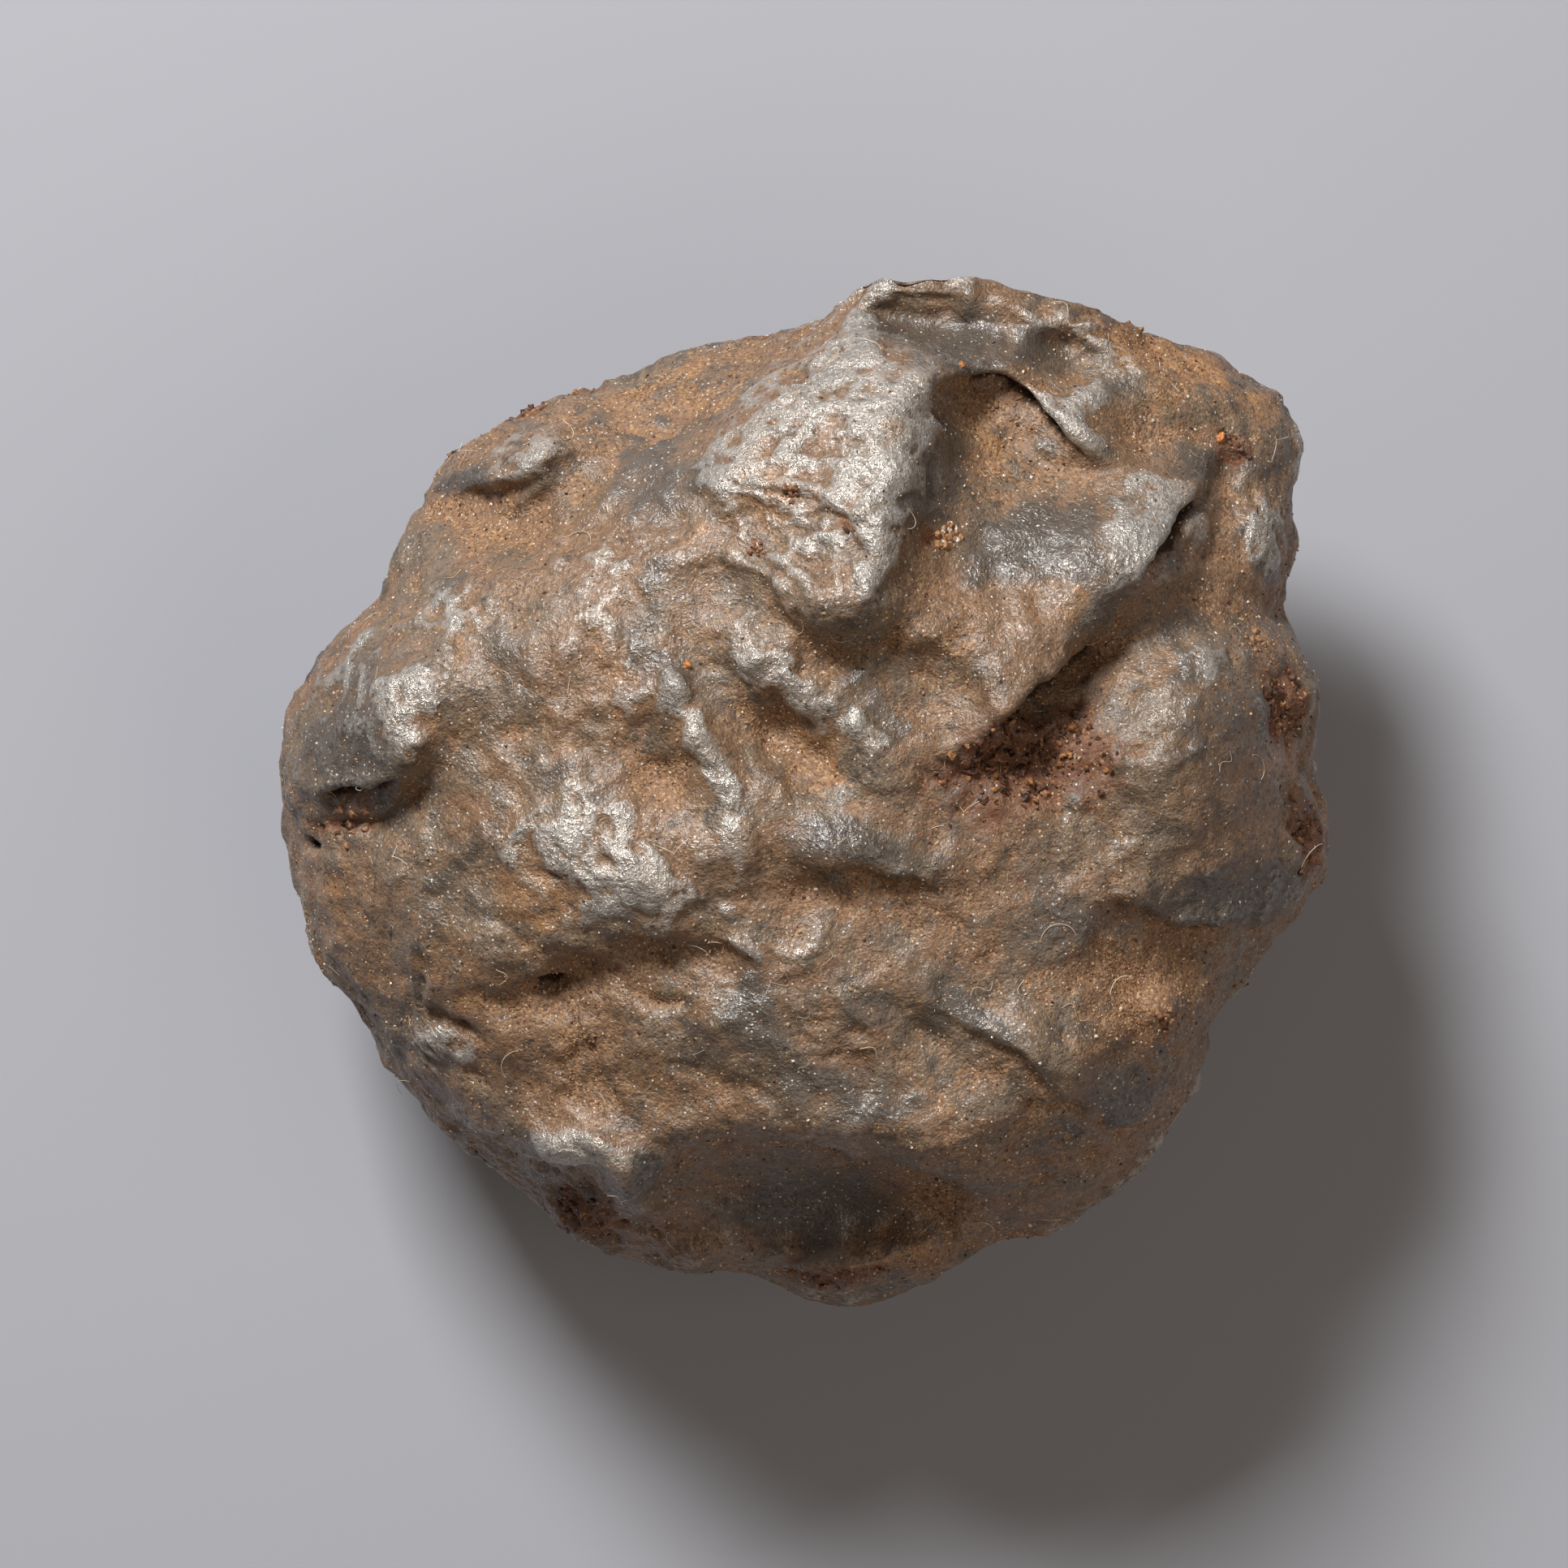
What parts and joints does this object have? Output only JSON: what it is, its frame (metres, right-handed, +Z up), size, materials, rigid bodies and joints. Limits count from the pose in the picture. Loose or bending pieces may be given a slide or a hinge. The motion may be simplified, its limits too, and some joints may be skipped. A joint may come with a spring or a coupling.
{
  "type": "iron meteorite",
  "caption": "Small iron meteorite with thumbprint hollows, worn crests and rust-brown crusted skin, lying on its back on a small flat spot; a specimen to show or hold.",
  "frame": {"origin": "on the surface that the stone rests on, under the middle of its outline", "axes": "+Z up through the thumbprinted face, +Y towards the sharp corner at the top of the face, +X to the right of the face"},
  "size_m": [0.0648, 0.0634, 0.0429],
  "materials": {
    "meteorite": "weathered, worn bright on the crests and rust brown in the hollows"
  },
  "bodies": {
    "root": {"meteorite": "meteorite"}
  },
  "joints": []
}
